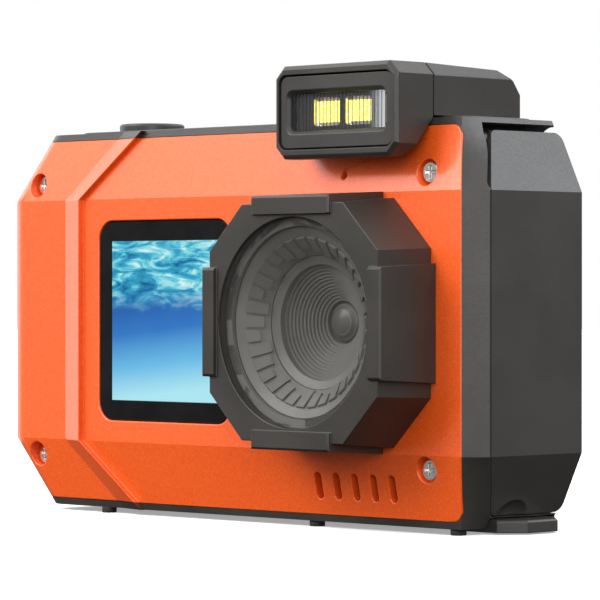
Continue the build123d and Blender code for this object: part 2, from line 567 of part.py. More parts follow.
# ---- Front screen, speaker and microphone ----
x0, x1, z0, z1 = SCREEN
glass_back = FACE_Y + 1.0
glass = panel_y(x0 + FIT, x1 - FIT, z0 + FIT, z1 - FIT, SCREEN_R - FIT, glass_back - SCREEN_T, glass_back)
write("front_screen_glass", chamfer(glass.edges().group_by(Axis.Y)[0], 0.2))
write("front_display", panel_y(x0 + 2.2, x1 - 2.2, z0 + 2.2, z1 - 2.2, 1.2, glass_back, glass_back + 2.0))
write("speaker", panel_y(SLOT_X - 9.5, SLOT_X + 9.5, 5.3, 11.3, 2.0, -3.1, -0.2))
write("microphone", disc_y(LENS_X, MIC_Z, 2.0, -4.1, -2.7))

# ---- Lamp on the top deck ----
RIM_TOP = MID_Z + HALF_H
LAMP_FLOOR = DECK_Z
LAMP_CUT = 2.0


def lamp_ends(inset):
    """The lamp's front view, with cut corners."""
    w, low, high = LAMP_W / 2 - inset, LAMP_LOW + inset, LAMP_TOP - inset
    c = LAMP_CUT - inset * 0.4
    return Pos(LAMP_X, 0) * polygon((w, low + c), (w, high - c), (w - c, high), (c - w, high),
                                    (-w, high - c), (-w, low + c), (c - w, low), (w - c, low))


def lamp_part(profile, inset):
    """A side profile swept across the lamp and trimmed to its front view."""
    return along_x(profile, 0, 70) & along_y(lamp_ends(inset), -40, 40)


head_side = polygon((LAMP_FRONT, LAMP_LOW), (LAMP_FRONT, LAMP_TOP), (LAMP_SEAM, LAMP_TOP),
                    (LAMP_SEAM, RIM_TOP + FIT), (-5.0, RIM_TOP - 0.6), (-5.7, 65.8), (-8.7, 62.1),
                    (-9.4, LAMP_LOW))
head_room = polygon((LAMP_FRONT - 2, LAMP_LOW), (LAMP_FRONT - 2, LAMP_TOP), (LAMP_SEAM + 2, LAMP_TOP),
                    (LAMP_SEAM + 2, RIM_TOP + LAMP_T), (-5.4, RIM_TOP + LAMP_T), (-11.0, LAMP_LOW + 1.0))
bezel_w, bezel_h, bezel_z = BEZEL
bx0, bx1 = LAMP_X - bezel_w / 2, LAMP_X + bezel_w / 2
bz0, bz1 = bezel_z - bezel_h / 2, bezel_z + bezel_h / 2
BEZEL_FRONT, BEZEL_BACK = LAMP_FRONT + 0.35, LAMP_FRONT + 1.8
head = lamp_part(head_side, 0)
head = chamfer(head.faces().sort_by(Axis.Y)[0].edges(), 0.6)
head -= lamp_part(head_room, LAMP_T) & slab(0, 70, BEZEL_BACK, 0, 0, 90)
head -= panel_y(bx0, bx1, bz0, bz1, 1.6, -20, BEZEL_BACK)
write("lamp_front_shell", head)

tail_side = polygon((LAMP_SEAM, LAMP_FLOOR), (LAMP_SEAM, LAMP_TOP), (12.3, 75.4), (14.8, 73.6),
                    (LAMP_REAR, 71.4), (LAMP_REAR, LAMP_FLOOR))
groove_end = LAMP_SEAM + LAMP_GROOVE
groove_side = polygon((LAMP_SEAM - 1, LAMP_FLOOR - 1), (LAMP_SEAM - 1, LAMP_TOP),
                      (groove_end, LAMP_TOP), (groove_end, LAMP_FLOOR - 1))
tail_room = polygon((LAMP_SEAM - 1, LAMP_FLOOR + LAMP_T), (LAMP_SEAM - 1, LAMP_TOP),
                    (11.6, 74.0), (13.8, 72.4), (LAMP_REAR - LAMP_T, 70.6),
                    (LAMP_REAR - LAMP_T, LAMP_FLOOR + LAMP_T))
tail = lamp_part(tail_side, 0) - lamp_part(tail_room, LAMP_T)
tail -= lamp_part(groove_side, 0) - lamp_part(groove_side, GROOVE_DEPTH)
write("lamp_rear_shell", tail - disc_z(*CABLE, 2.0, 60, 70))

light_w, light_h = LIGHT
lx0, lx1 = LAMP_X - light_w / 2, LAMP_X + light_w / 2
lz0, lz1 = bezel_z - light_h / 2, bezel_z + light_h / 2
bezel = panel_y(bx0 + 0.25, bx1 - 0.25, bz0 + 0.25, bz1 - 0.25, 1.4, BEZEL_FRONT, BEZEL_BACK)
bezel -= panel_y(lx0, lx1, lz0, lz1, 0.8, -20, 0)
write("lamp_bezel", chamfer(bezel.faces().sort_by(Axis.Y)[0].inner_wires()[0].edges(), 0.6))
LENS_RIBS = 26
lamp_lens = panel_y(lx0 + FIT, lx1 - FIT, lz0 + FIT, lz1 - FIT, 0.7, BEZEL_FRONT + 0.5, BEZEL_BACK)
rib_pitch = light_w / LENS_RIBS
grooves = [
    Pos(lx0 + (i + 0.5) * rib_pitch, BEZEL_BACK, bezel_z) * Rot(0, 0, 45) * Box(0.42, 0.42, light_h - 1)
    for i in range(LENS_RIBS)
]
write("lamp_lens", lamp_lens - grooves)

REFLECTOR_Y, LED_Y = BEZEL_BACK + 0.1, -10.2
LED_W, LED_H, LED_T = 4.8, 3.4, 0.7
POCKET_W, POCKET_H, POCKET_FLOOR = 6.0, 4.6, 0.15
reflector = slab(lx0, lx1, REFLECTOR_Y, LED_Y, lz0 - 0.2, lz1 + 0.2)
leds = []
for way in (-1, 1):
    x = LAMP_X + way * LED_PITCH / 2
    reflector -= panel_y(x - POCKET_W / 2, x + POCKET_W / 2, bezel_z - POCKET_H / 2, bezel_z + POCKET_H / 2,
                         0.6, REFLECTOR_Y - 1, LED_Y - POCKET_FLOOR)
    reflector -= slab(x - LED_W / 2 - FIT, x + LED_W / 2 + FIT, REFLECTOR_Y, LED_Y + 1,
                      bezel_z - LED_H / 2 - FIT, bezel_z + LED_H / 2 + FIT)
    leds.append(slab(x - LED_W / 2, x + LED_W / 2, LED_Y - LED_T, LED_Y,
                     bezel_z - LED_H / 2, bezel_z + LED_H / 2))
write("lamp_reflector", reflector)
write("lamp_leds", *leds)
write("lamp_board", slab(lx0, lx1, LED_Y, LED_Y + 1.0, bezel_z - 2.0, bezel_z + 4.5))

# ---- Electronics, battery and card ----
write("main_board", slab(-47.5, 46, 11.4, 12.4, 12.0, 57.0))
SWITCH_Y = (12.4, 13.9)
spots = [(x, z) for _, x, z, _ in KEYS] + [(KEY_X, PAD_Z)] + [
    (KEY_X + way * 7.2, PAD_Z) for way in (-1, 1)] + [(KEY_X, PAD_Z + way * 7.2) for way in (-1, 1)]
switches = [slab(x - 1.6, x + 1.6, *SWITCH_Y, z - 1.6, z + 1.6) for x, z in spots]
switches += [slab(x - 1.8, x + 1.8, y - 1.8, y + 1.8, 60.8, 62.2) for x, y in (SHUTTER, POWER)]
write("button_switches", *switches)

TRAY = (11.0, 53.2, 4.3, 10.9, 15.3, 49.0)
tray = slab(*TRAY) - slab(TRAY[0] + 0.6, 60, TRAY[2] + 0.5, TRAY[3] - 0.5, TRAY[4] + 0.6, TRAY[5] - 0.6)
write("battery_tray", tray)
write("battery", panel_y(12.0, 52.6, 16.4, 48.0, 1.5, 5.0, 10.2))
slot = slab(39.5, 53.2, -0.9, 1.5, 30.0, 43.0) - slab(38, 60, -0.1, 0.7, 31.0, 42.2)
write("card_slot", slot)
write("memory_card", slab(39.8, 52.9, 0.0, 0.6, 31.2, 42.0))
USB = Pos(0.9, 22.7)               # middle of the USB socket, in Y and Z
port = along_x(USB * RectangleRounded(3.2, 9.0, 1.5), 46.0, 53.3)
port -= along_x(USB * RectangleRounded(2.5, 8.3, 1.2), 47.0, 60)
port += along_x(USB * RectangleRounded(0.7, 6.6, 0.3), 46.5, 52.0)
write("usb_port", port)
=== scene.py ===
import math

import bmesh
import bpy
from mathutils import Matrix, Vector


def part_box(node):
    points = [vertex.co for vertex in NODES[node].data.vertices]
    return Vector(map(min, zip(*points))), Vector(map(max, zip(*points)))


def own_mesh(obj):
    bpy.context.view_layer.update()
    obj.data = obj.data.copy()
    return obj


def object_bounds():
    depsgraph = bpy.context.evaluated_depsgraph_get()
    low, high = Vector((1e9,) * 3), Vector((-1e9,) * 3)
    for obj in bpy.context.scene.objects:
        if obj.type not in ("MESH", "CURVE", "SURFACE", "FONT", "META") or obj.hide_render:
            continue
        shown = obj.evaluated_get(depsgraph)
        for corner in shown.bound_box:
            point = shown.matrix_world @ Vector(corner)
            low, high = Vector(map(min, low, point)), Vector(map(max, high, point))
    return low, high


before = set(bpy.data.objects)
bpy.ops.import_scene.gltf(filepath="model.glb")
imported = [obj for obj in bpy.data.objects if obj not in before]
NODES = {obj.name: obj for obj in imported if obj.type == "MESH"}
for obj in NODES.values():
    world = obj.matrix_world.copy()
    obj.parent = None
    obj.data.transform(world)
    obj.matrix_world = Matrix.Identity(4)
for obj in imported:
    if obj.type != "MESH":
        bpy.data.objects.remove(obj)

# Looks of the waterproof action camera. Everything is in metres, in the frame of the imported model:
# the front faces -Y, the door side is +X, and the feet stand on Z = 0.
MM = 0.001
CAD_LOW, CAD_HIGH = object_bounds()


# ---- Shader helpers ----
def shader(name):
    """New material: its node tree and its Principled shader."""
    material = bpy.data.materials.new(name)
    material.use_nodes = True
    return material, material.node_tree, material.node_tree.nodes["Principled BSDF"]


def settle(bsdf, **values):
    """Constant values straight on the shader's sockets."""
    for name, value in values.items():
        bsdf.inputs[name.replace("_", " ")].default_value = value


def node(tree, kind, **values):
    """New shader node. Values name input sockets or, in lower case, the node's own settings."""
    made = tree.nodes.new("ShaderNode" + kind)
    for name, value in values.items():
        if name[0].isupper():
            made.inputs[name.replace("_", " ")].default_value = value
        else:
            setattr(made, name, value)
    return made


def place(tree, scale=(1, 1, 1), shift=(0, 0, 0)):
    """The piece's own coordinates in metres, scaled and shifted."""
    coords = node(tree, "TexCoord")
    mapping = node(tree, "Mapping", Scale=scale, Location=shift)
    tree.links.new(coords.outputs["Object"], mapping.inputs["Vector"])
    return mapping.outputs["Vector"]


def noise(tree, scale, detail=2.0, roughness=0.5, vector=None):
    """Noise value, with its scale in waves per metre."""
    made = node(tree, "TexNoise", Scale=scale, Detail=detail, Roughness=roughness)
    tree.links.new(vector or place(tree), made.inputs["Vector"])
    return made.outputs["Fac"]


def spread(tree, value, low, high, start=0.3, end=0.7):
    """A value stretched from start..end to low..high."""
    made = node(tree, "MapRange", From_Min=start, From_Max=end, To_Min=low, To_Max=high)
    tree.links.new(value, made.inputs["Value"])
    return made.outputs["Result"]


def ramp(tree, value, *stops):
    """Colour ramp with (place, colour) stops."""
    made = node(tree, "ValToRGB")
    elements = made.color_ramp.elements
    while len(elements) < len(stops):
        elements.new(0.5)
    for element, (where, colour) in zip(elements, stops):
        element.position = where
        element.color = (*colour, 1.0)
    tree.links.new(value, made.inputs["Fac"])
    return made.outputs["Color"]


def calc(tree, operation, *values):
    """Math node over values and sockets."""
    made = node(tree, "Math", operation=operation)
    for i, value in enumerate(values):
        if isinstance(value, (int, float)):
            made.inputs[i].default_value = value
        else:
            tree.links.new(value, made.inputs[i])
    return made.outputs["Value"]


def blend_colours(tree, factor, first, second):
    """Mix of two colours or colour sockets."""
    made = node(tree, "Mix", data_type="RGBA")
    tree.links.new(factor, made.inputs["Factor"])
    for socket, colour in ((made.inputs[6], first), (made.inputs[7], second)):
        if isinstance(colour, tuple):
            socket.default_value = (*colour, 1.0)
        else:
            tree.links.new(colour, socket)
    return made.outputs[2]


def bumped(tree, bsdf, height, distance, strength=1.0):
    """Bump from a height socket, with its depth in metres."""
    made = node(tree, "Bump", Strength=strength, Distance=distance)
    tree.links.new(height, made.inputs["Height"])
    tree.links.new(made.outputs["Normal"], bsdf.inputs["Normal"])


# ---- Materials ----
def moulded(name, colour, rough, grain=2600, depth=0.012 * MM, tint=0.2):
    """Moulded plastic: spark-eroded grain, slow change of tone and gloss."""
    material, tree, bsdf = shader(name)
    settle(bsdf, Specular_IOR_Level=0.45)
    slow = noise(tree, 60, 3)
    darker = tuple(c * (1 - tint) for c in colour)
    lighter = tuple(c * (1 + tint) for c in colour)
    tree.links.new(ramp(tree, slow, (0.35, darker), (0.65, lighter)), bsdf.inputs["Base Color"])
    fine = noise(tree, grain, 3, 0.6)
    tree.links.new(spread(tree, fine, rough - 0.05, rough + 0.07), bsdf.inputs["Roughness"])
    bumped(tree, bsdf, fine, depth)
    return material


def metallic_paint():
    """Orange paint with fine metal flakes under a clear coat."""
    material, tree, bsdf = shader("orange_flake_paint")
    settle(bsdf, Metallic=0.1, Specular_IOR_Level=0.5, Coat_Weight=0.55, Coat_Roughness=0.15)
    flakes = node(tree, "TexVoronoi", Scale=8200.0)
    tree.links.new(place(tree), flakes.inputs["Vector"])
    tone = node(tree, "SeparateColor")
    tree.links.new(flakes.outputs["Color"], tone.inputs["Color"])
    colour = ramp(tree, tone.outputs["Red"], (0.0, (0.84, 0.082, 0.005)), (0.55, (0.94, 0.108, 0.007)),
                  (0.9, (0.98, 0.135, 0.012)), (1.0, (1.0, 0.19, 0.03)))
    tree.links.new(colour, bsdf.inputs["Base Color"])
    tree.links.new(spread(tree, tone.outputs["Green"], 0.34, 0.5, 0.0, 1.0), bsdf.inputs["Roughness"])
    bumped(tree, bsdf, tone.outputs["Blue"], 0.004 * MM, 0.5)
    return material


def polished(name, colour, rough):
    """Smooth glossy glass with a trace of dust haze."""
    material, tree, bsdf = shader(name)
    settle(bsdf, Specular_IOR_Level=0.5)
    haze = noise(tree, 90, 4)
    darker = tuple(c * 0.8 for c in colour)
    tree.links.new(ramp(tree, haze, (0.35, darker), (0.65, colour)), bsdf.inputs["Base Color"])
    tree.links.new(spread(tree, haze, rough * 0.7, rough * 1.5), bsdf.inputs["Roughness"])
    return material


def clear(name, colour, alpha, rough=0.04):
    """Thin clear window: partly see-through, glossy on its face."""
    material, tree, bsdf = shader(name)
    settle(bsdf, Alpha=alpha, Specular_IOR_Level=0.6)
    haze = noise(tree, 120, 3)
    lighter = tuple(min(1.0, c * 1.15) for c in colour)
    tree.links.new(ramp(tree, haze, (0.35, colour), (0.65, lighter)), bsdf.inputs["Base Color"])
    tree.links.new(spread(tree, haze, rough, rough * 2), bsdf.inputs["Roughness"])
    return material


def metal(name, colour, rough, scratch=(900, 900, 60)):
    """Machined metal with fine drawn lines."""
    material, tree, bsdf = shader(name)
    settle(bsdf, Metallic=1.0)
    lines = noise(tree, 6.0, 4, 0.7, place(tree, scratch))
    darker = tuple(c * 0.75 for c in colour)
    tree.links.new(ramp(tree, lines, (0.3, darker), (0.7, colour)), bsdf.inputs["Base Color"])
    tree.links.new(spread(tree, lines, rough * 0.7, rough * 1.5), bsdf.inputs["Roughness"])
    bumped(tree, bsdf, lines, 0.004 * MM)
    return material


def rectangle_mask(tree, x0, x1, z0, z1, soft=0.05 * MM):
    """1 inside a rectangle of the piece's X and Z, 0 outside."""
    parts = node(tree, "SeparateXYZ")
    tree.links.new(place(tree), parts.inputs["Vector"])
    inside = None
    for axis, low, high in (("X", x0, x1), ("Z", z0, z1)):
        for edge, way in ((low, 1), (high, -1)):
            step = node(tree, "MapRange", From_Min=edge - way * soft, From_Max=edge + way * soft,
                        To_Min=0.0, To_Max=1.0)
            tree.links.new(parts.outputs[axis], step.inputs["Value"])
            inside = step.outputs["Result"] if inside is None else calc(
                tree, "MINIMUM", inside, step.outputs["Result"])
    return inside, parts


def screen_material(name, area, picture):
    """Glossy black glass with a picture inside a rectangle."""
    material, tree, bsdf = shader(name)
    settle(bsdf, Specular_IOR_Level=0.14)
    inside, parts = rectangle_mask(tree, *area)
    colour = picture(tree, parts, area)
    smudge = noise(tree, 140, 3)
    border = ramp(tree, smudge, (0.3, (0.004, 0.004, 0.004)), (0.7, (0.009, 0.009, 0.010)))
    tree.links.new(border, bsdf.inputs["Base Color"])
    glow = blend_colours(tree, inside, (0.0, 0.0, 0.0), colour)
    tree.links.new(glow, bsdf.inputs["Emission Color"])
    settle(bsdf, Emission_Strength=0.9)
    tree.links.new(spread(tree, smudge, 0.05, 0.12), bsdf.inputs["Roughness"])
    return material


def under_water(tree, parts, area):
    """Picture of sunlit water seen from below: rippled surface above, pale depth below."""
    x0, x1, z0, z1 = area
    height = node(tree, "MapRange", From_Min=z0, From_Max=z1, To_Min=0.0, To_Max=1.0)
    tree.links.new(parts.outputs["Z"], height.inputs["Value"])
    across = node(tree, "MapRange", From_Min=x0, From_Max=x1, To_Min=0.0, To_Max=1.0)
    tree.links.new(parts.outputs["X"], across.inputs["Value"])
    level, side = height.outputs["Result"], across.outputs["Result"]
    depth = calc(tree, "SUBTRACT", level, calc(tree, "MULTIPLY", side, 0.1))
    water = ramp(tree, depth, (0.0, (0.45, 0.86, 0.96)), (0.18, (0.16, 0.55, 0.87)), (0.4, (0.03, 0.2, 0.6)),
                 (0.55, (0.015, 0.13, 0.47)), (0.75, (0.02, 0.27, 0.55)))
    swell = node(tree, "TexNoise", Scale=1.0, Detail=4.0, Roughness=0.55, Distortion=1.4)
    tree.links.new(place(tree, (150, 150, 520)), swell.inputs["Vector"])
    light = ramp(tree, swell.outputs["Fac"], (0.3, (0.0, 0.12, 0.32)), (0.46, (0.03, 0.4, 0.62)),
                 (0.56, (0.2, 0.72, 0.82)), (0.68, (0.75, 0.98, 0.97)))
    wavering = calc(tree, "ADD", level, calc(tree, "MULTIPLY", noise(tree, 260, 2), 0.12))
    above = spread(tree, wavering, 0.0, 1.0, 0.62, 0.78)
    return blend_colours(tree, above, water, light)


def dark_panel(tree, parts, area):
    """A display that is off: barely lighter than its border."""
    grain = noise(tree, 60, 2)
    return ramp(tree, grain, (0.3, (0.010, 0.012, 0.016)), (0.7, (0.014, 0.016, 0.021)))


def phosphor():
    """Yellow LED phosphor with a bright grid of dies."""
    material, tree, bsdf = shader("led_phosphor")
    cells = node(tree, "TexVoronoi", Scale=1500.0)
    tree.links.new(place(tree), cells.inputs["Vector"])
    colour = ramp(tree, cells.outputs["Distance"], (0.0, (1.0, 0.97, 0.6)), (0.5, (0.9, 0.82, 0.12)))
    tree.links.new(colour, bsdf.inputs["Base Color"])
    tree.links.new(colour, bsdf.inputs["Emission Color"])
    settle(bsdf, Emission_Strength=1.6, Roughness=0.4)
    return material


def circuit_board():
    """Green solder mask with traces and pads."""
    material, tree, bsdf = shader("circuit_board")
    settle(bsdf, Roughness=0.35)
    traces = node(tree, "TexBrick", Scale=260.0, Mortar_Size=0.03)
    tree.links.new(place(tree), traces.inputs["Vector"])
    traces.inputs["Color1"].default_value = (0.01, 0.12, 0.05, 1)
    traces.inputs["Color2"].default_value = (0.012, 0.15, 0.06, 1)
    traces.inputs["Mortar"].default_value = (0.05, 0.3, 0.12, 1)
    tree.links.new(traces.outputs["Color"], bsdf.inputs["Base Color"])
    return material


def axis_of(tree, axis):
    """One of the piece's own coordinates."""
    parts = node(tree, "SeparateXYZ")
    tree.links.new(place(tree), parts.inputs["Vector"])
    return parts.outputs[axis]


def ribbed_window(name, box, ribs=26, rib_start=0.8):
    """Clear lamp window with fine upright ribs, with a painted reflection that makes it paler and less clear
    towards the door side.
    """
    low, high = box
    material, tree, bsdf = shader(name)
    settle(bsdf, Roughness=0.1, Specular_IOR_Level=0.6)
    across = spread(tree, axis_of(tree, "X"), 0.0, 1.0, low.x, high.x)
    wave = calc(tree, "FRACT", calc(tree, "MULTIPLY", across, float(ribs)))
    line = calc(tree, "GREATER_THAN", wave, rib_start)
    # Painted reflection: the base colour rises from dark to pale grey towards the door side.
    pale = ramp(tree, across, (0.0, (0.06, 0.06, 0.06)), (0.8, (0.2, 0.2, 0.2)), (0.95, (0.75, 0.77, 0.78)))
    tree.links.new(blend_colours(tree, line, pale, (0.03, 0.03, 0.03)), bsdf.inputs["Base Color"])
    # The alpha rises with it, so the painted reflection hides what lies behind; the dark rib lines are made
    # more opaque too.
    reflection_opacity = ramp(tree, across, (0.0, (0.06, 0.06, 0.06)), (0.82, (0.07, 0.07, 0.07)), (0.96, (0.5, 0.5, 0.5)))
    tree.links.new(calc(tree, "MAXIMUM", reflection_opacity, calc(tree, "MULTIPLY", line, 0.7)), bsdf.inputs["Alpha"])
    return material


def cupped_reflector(name, box):
    """Reflector block: dark front face, bright plating inside its cups."""
    low, _ = box
    material, tree, bsdf = shader(name)
    inside = spread(tree, axis_of(tree, "Y"), 0.0, 1.0, low.y + 0.05 * MM, low.y + 0.2 * MM)
    ripple = noise(tree, 500, 2)
    bright = ramp(tree, ripple, (0.3, (0.7, 0.68, 0.6)), (0.7, (0.86, 0.85, 0.8)))
    tree.links.new(blend_colours(tree, inside, (0.03, 0.03, 0.03), bright), bsdf.inputs["Base Color"])
    tree.links.new(inside, bsdf.inputs["Metallic"])
    tree.links.new(spread(tree, ripple, 0.15, 0.3), bsdf.inputs["Roughness"])
    bumped(tree, bsdf, ripple, 0.03 * MM)
    return material


TRIANGLE_SLOPE = 0.62


def marked_key(name, axes, *marks):
    """Key plastic with a pale printed symbol. axes are the two that span the key's face, and marks are
    given in millimetres from the middle of the node called name."""
    low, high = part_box(name)
    middle = (low + high) / 2
    material, tree, bsdf = shader(name + "_print")
    u, v = [calc(tree, "SUBTRACT", axis_of(tree, axis), getattr(middle, axis.lower())) for axis in axes]

    def near(value, centre, reach):
        gap = calc(tree, "ABSOLUTE", calc(tree, "SUBTRACT", value, centre * MM))
        return calc(tree, "LESS_THAN", gap, reach * MM)

    printed = None
    for kind, a, b, c, d in marks:
        if kind == "bar":
            mark = calc(tree, "MINIMUM", near(u, a, c), near(v, b, d))
        elif kind == "ring":
            du, dv = calc(tree, "SUBTRACT", u, a * MM), calc(tree, "SUBTRACT", v, b * MM)
            span = calc(tree, "ADD", calc(tree, "MULTIPLY", du, du), calc(tree, "MULTIPLY", dv, dv))
            mark = near(calc(tree, "SQRT", span), c, d)
        else:
            run = calc(tree, "MULTIPLY", calc(tree, "ADD", u, b * MM), TRIANGLE_SLOPE)
            mark = calc(tree, "MINIMUM", near(u, a, c),
                        calc(tree, "LESS_THAN", calc(tree, "ABSOLUTE", v), run))
        printed = mark if printed is None else calc(tree, "MAXIMUM", printed, mark)
    slow = noise(tree, 60, 3)
    plain = ramp(tree, slow, (0.35, (0.026, 0.026, 0.027)), (0.65, (0.034, 0.034, 0.035)))
    tree.links.new(blend_colours(tree, printed, plain, (0.55, 0.55, 0.56)), bsdf.inputs["Base Color"])
    fine = noise(tree, 3500, 3, 0.6)
    tree.links.new(spread(tree, fine, 0.32, 0.45), bsdf.inputs["Roughness"])
    bumped(tree, bsdf, fine, 0.006 * MM)
    return material


LENS_RINGS_RADIUS = 3.4


def ringed_lens(name, colour, box):
    """Front lens: smoky, with painted highlights as pale rings at the edges of the elements behind it, and
    painted shade in the darker bands outside them.
    """
    middle = (box[0] + box[1]) / 2
    material, tree, bsdf = shader(name)
    settle(bsdf, Specular_IOR_Level=0.4)
    u = calc(tree, "SUBTRACT", axis_of(tree, "X"), middle.x)
    v = calc(tree, "SUBTRACT", axis_of(tree, "Z"), middle.z)
    span = calc(tree, "SQRT", calc(tree, "ADD", calc(tree, "MULTIPLY", u, u), calc(tree, "MULTIPLY", v, v)))
    radius = spread(tree, span, 0.0, 1.0, 0.0, LENS_RINGS_RADIUS * MM)
    # Painted highlights and shade: pale rings, each with a darker band just outside, and darker again out to
    # the rim.
    dark, pale = tuple(c * 0.8 for c in colour), tuple(c * 1.9 for c in colour)
    rings = ramp(tree, radius, (0.0, colour), (0.55, colour), (0.6, pale), (0.65, dark), (0.8, colour),
                 (0.85, pale), (0.9, dark))
    tree.links.new(rings, bsdf.inputs["Base Color"])
    tree.links.new(spread(tree, noise(tree, 300, 3), 0.3, 0.42), bsdf.inputs["Roughness"])
    return material


def printed_film():
    """Battery wrap: dark film with a pale band and no lettering."""
    material, tree, bsdf = shader("battery_wrap")
    settle(bsdf, Roughness=0.3)
    band = ramp(tree, spread(tree, axis_of(tree, "Z"), 0.0, 1.0, 16 * MM, 48 * MM),
                (0.0, (0.02, 0.02, 0.022)), (0.6, (0.03, 0.03, 0.035)), (0.62, (0.4, 0.4, 0.42)),
                (0.7, (0.03, 0.03, 0.035)))
    tree.links.new(band, bsdf.inputs["Base Color"])
    tree.links.new(spread(tree, noise(tree, 400, 2), 0.22, 0.38), bsdf.inputs["Roughness"])
    return material


PAINT = metallic_paint()
BODY_BLACK = moulded("body_black", (0.036, 0.033, 0.029), 0.33)
HOUSING_BLACK = moulded("housing_black", (0.034, 0.030, 0.025), 0.36)
BEZEL_BLACK = moulded("bezel_black", (0.033, 0.030, 0.026), 0.42)
DARK_PLASTIC = moulded("dark_plastic", (0.02, 0.02, 0.02), 0.5)
KEY_BLACK = moulded("key_black", (0.03, 0.03, 0.031), 0.38, grain=3500, depth=0.006 * MM)
LENS_BLACK = moulded("lens_black", (0.15, 0.143, 0.13), 0.42, depth=0.004 * MM)
LIP_GREY = moulded("lip_grey", (0.15, 0.143, 0.13), 0.75, depth=0.003 * MM, tint=0.06)
ELEMENT_GREY = ringed_lens("element_grey", (0.1, 0.096, 0.088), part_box("front_lens_element"))
RUBBER = moulded("rubber", (0.018, 0.018, 0.018), 0.7, grain=4000)
STEEL = metal("screw_steel", (0.86, 0.84, 0.8), 0.2)
PIN_STEEL = metal("pin_steel", (0.6, 0.6, 0.61), 0.3)
BRASS = metal("brass", (0.75, 0.55, 0.25), 0.28)
SHELL_METAL = metal("shell_metal", (0.68, 0.68, 0.69), 0.35)
WINDOW_GLASS = clear("window_glass", (0.09, 0.085, 0.078), 0.1)
OPTICAL_GLASS = polished("optical_glass", (0.03, 0.03, 0.035), 0.05)
LAMP_CLEAR = ribbed_window("lamp_clear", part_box("lamp_lens"))
REFLECTOR = cupped_reflector("reflector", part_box("lamp_reflector"))
PHOSPHOR = phosphor()
BOARD = circuit_board()
WRAP = printed_film()

low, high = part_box("front_display")
FRONT_PICTURE = (low.x + 1.2 * MM, high.x - 1.1 * MM, low.z + 1.4 * MM, high.z - 1.4 * MM)
FRONT_SCREEN = screen_material("front_screen", FRONT_PICTURE, under_water)
low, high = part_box("rear_display")
REAR_PICTURE = (low.x + MM, high.x - MM, low.z + MM, high.z - MM)
REAR_SCREEN = screen_material("rear_screen", REAR_PICTURE, dark_panel)

# Generic symbols on the keys, in millimetres from a key's middle: (kind, u, v, half width or radius,
# half height or half line). A triangle's two sides rise from b behind its middle.
MARKS = {
    "mode_button": ("XZ", ("ring", 0, 0, 1.35, 0.16), ("ring", 0, 0, 0.0, 0.4)),
    "play_button": ("XZ", ("triangle", 0, 1.1, 1.1, 0)),
    "menu_button": ("XZ", *[("bar", 0, z, 1.5, 0.17) for z in (-0.95, 0, 0.95)]),
    "screen_button": ("XZ", *[("bar", 0, z, 1.6, 0.15) for z in (-1.1, 1.1)],
                      *[("bar", x, 0, 0.15, 1.25) for x in (-1.45, 1.45)]),
    "four_way_pad": ("XZ", ("ring", 7.4, 0, 0.0, 0.5), ("ring", -7.4, 0, 0.0, 0.5),
                     ("ring", 0, 7.4, 0.0, 0.5), ("ring", 0, -7.4, 0.0, 0.5)),
    "ok_button": ("XZ", ("ring", 0, 0, 1.7, 0.16)),
    "zoom_rocker": ("XZ", ("bar", -7, 0, 1.1, 0.17), ("bar", -7, 0, 0.17, 1.1), ("bar", 7, 0, 1.1, 0.17)),
    "power_button": ("XY", ("ring", 0, 0, 1.5, 0.17), ("bar", 0, -1.5, 0.17, 0.9)),
}

# CAD node: material, and the width of its rounded edges in millimetres.
FINISH = {
    "front_cover": (PAINT, 0.22),
    "mid_frame": (BODY_BLACK, 0.12),
    "rear_cover": (BODY_BLACK, 0.16),
    "side_door": (BODY_BLACK, 0.12),
    "top_deck": (BODY_BLACK, 0.2),
    "door_latch": (BODY_BLACK, 0.15),
    "lens_housing": (HOUSING_BLACK, 0.2),
    "lamp_front_shell": (HOUSING_BLACK, 0.2),
    "lamp_rear_shell": (HOUSING_BLACK, 0.2),
    "lamp_bezel": (BEZEL_BLACK, 0.12),
    "lamp_lens": (LAMP_CLEAR, 0),
    "lamp_reflector": (REFLECTOR, 0),
    "lamp_leds": (PHOSPHOR, 0),
    "lamp_board": (BOARD, 0),
    "lens_window": (WINDOW_GLASS, 0),
    "window_seal": (LIP_GREY, 0),
    "rib_ring": (LENS_BLACK, 0),
    "lens_cone": (LENS_BLACK, 0),
    "front_lens_element": (ELEMENT_GREY, 0),
    "rear_lens_element": (OPTICAL_GLASS, 0),
    "lens_barrel": (LENS_BLACK, 0),
    "image_sensor": (OPTICAL_GLASS, 0),
    "sensor_board": (BOARD, 0),
    "front_screen_glass": (FRONT_SCREEN, 0),
    "front_display": (DARK_PLASTIC, 0),
    "rear_screen_glass": (REAR_SCREEN, 0),
    "rear_display": (DARK_PLASTIC, 0),
    "front_screws": (STEEL, 0.1),
    "rear_screws": (STEEL, 0.1),
    "latch_screw": (STEEL, 0),
    "feet": (RUBBER, 0.15),
    "main_seal": (RUBBER, 0),
    "rear_seal": (RUBBER, 0),
    "door_seal": (RUBBER, 0.1),
    "tripod_insert": (BRASS, 0.1),
    "door_hinge_pin": (PIN_STEEL, 0),
    "rocker_pin": (PIN_STEEL, 0),
    "shutter_spring": (PIN_STEEL, 0),
    "shutter_button": (KEY_BLACK, 0),
    "button_switches": (DARK_PLASTIC, 0),
    "button_board": (BOARD, 0),
    "main_board": (BOARD, 0),
    "battery_tray": (DARK_PLASTIC, 0.1),
    "battery": (WRAP, 0),
    "card_slot": (SHELL_METAL, 0),
    "memory_card": (DARK_PLASTIC, 0.1),
    "usb_port": (SHELL_METAL, 0.1),
    "speaker": (DARK_PLASTIC, 0),
    "microphone": (SHELL_METAL, 0),
}


# Pieces whose flat faces have openings that a dissolved face would close over.
OPEN_FACED = {"lamp_front_shell", "lens_housing", "mid_frame", "rear_cover"}
# Pieces whose tight corners would throw the rounding out past the piece.
TIGHT_CORNERED = OPEN_FACED | {"side_door"}


WELD_GAP = 0.001
FLAT_ANGLE, SHARP_ANGLE = 0.6, 28


